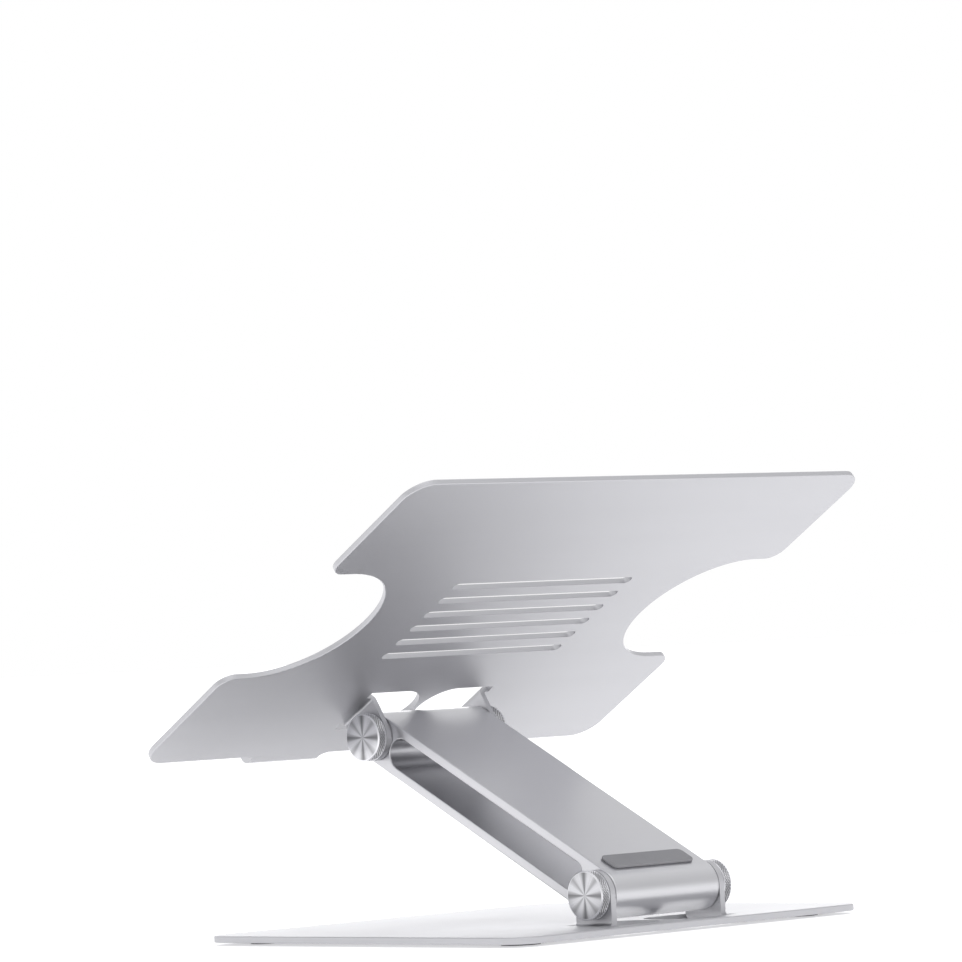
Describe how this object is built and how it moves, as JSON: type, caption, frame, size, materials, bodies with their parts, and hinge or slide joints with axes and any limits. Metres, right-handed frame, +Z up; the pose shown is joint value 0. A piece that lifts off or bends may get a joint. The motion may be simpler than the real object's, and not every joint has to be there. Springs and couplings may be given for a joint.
{
  "type": "folding laptop stand",
  "caption": "Folding metal laptop stand: flat base plate, one wide windowed arm on friction hinges with knurled knobs, and a tilting vented tray with hooks.",
  "frame": {"origin": "on the desk, under the middle of the base plate", "axes": "+Z up, +Y to the rear, where the lower hinge is, +X to the right of someone who faces the stand's front, along both hinge axes; at rest the arm leans forward and the tray slopes up to the rear"},
  "size_m": [0.325, 0.2469, 0.2284],
  "materials": {
    "satin_aluminium": "fine bead-blasted, clear anodised sheet",
    "arm_aluminium": "bead-blasted, clear anodised extrusion",
    "turned_aluminium": "turned face with radial sheen, diamond-knurled rim",
    "hinge_steel": "ground steel",
    "insert_brass": "turned brass",
    "bush_plastic": "moulded acetal",
    "grey_rubber": "smooth matt silicone rubber",
    "foot_rubber": "matt rubber"
  },
  "bodies": {
    "base": {"base_plate": "satin_aluminium", "base_feet": "foot_rubber", "lower_shaft": "hinge_steel", "lower_friction_washers": "hinge_steel", "lower_spring_washers": "hinge_steel", "lower_fixed_knob": "turned_aluminium"},
    "arm": {"arm_profile": "arm_aluminium", "arm_pad": "grey_rubber", "lower_bushes": "bush_plastic", "upper_bushes": "bush_plastic"},
    "tray": {"tray_plate": "satin_aluminium", "tray_rear_pads": "grey_rubber", "tray_front_pads": "grey_rubber", "hook_pads": "grey_rubber", "upper_shaft": "hinge_steel", "upper_friction_washers": "hinge_steel", "upper_spring_washers": "hinge_steel", "upper_fixed_knob": "turned_aluminium"},
    "lower_knob": {"lower_turning_knob": "turned_aluminium", "lower_knob_insert": "insert_brass"},
    "upper_knob": {"upper_turning_knob": "turned_aluminium", "upper_knob_insert": "insert_brass"}
  },
  "joints": [
    {"name": "arm_swing", "type": "hinge", "parent": "base", "child": "arm", "pos_m": [0, 0.0835, 0.0202], "axis": [-1, 0, 0], "range_deg": [-27.7, 22]},
    {"name": "tray_tilt", "type": "hinge", "parent": "arm", "child": "tray", "pos_m": [0, -0.0726, 0.10215], "axis": [1, 0, 0], "range_deg": [-59.3, 7]},
    {"name": "lower_knob_turn", "type": "hinge", "parent": "base", "child": "lower_knob", "pos_m": [0.0445, 0.0835, 0.0202], "axis": [1, 0, 0], "range_deg": [0, 180]},
    {"name": "upper_knob_turn", "type": "hinge", "parent": "tray", "child": "upper_knob", "pos_m": [0.044, -0.0726, 0.10215], "axis": [1, 0, 0], "range_deg": [0, 180]}
  ]
}
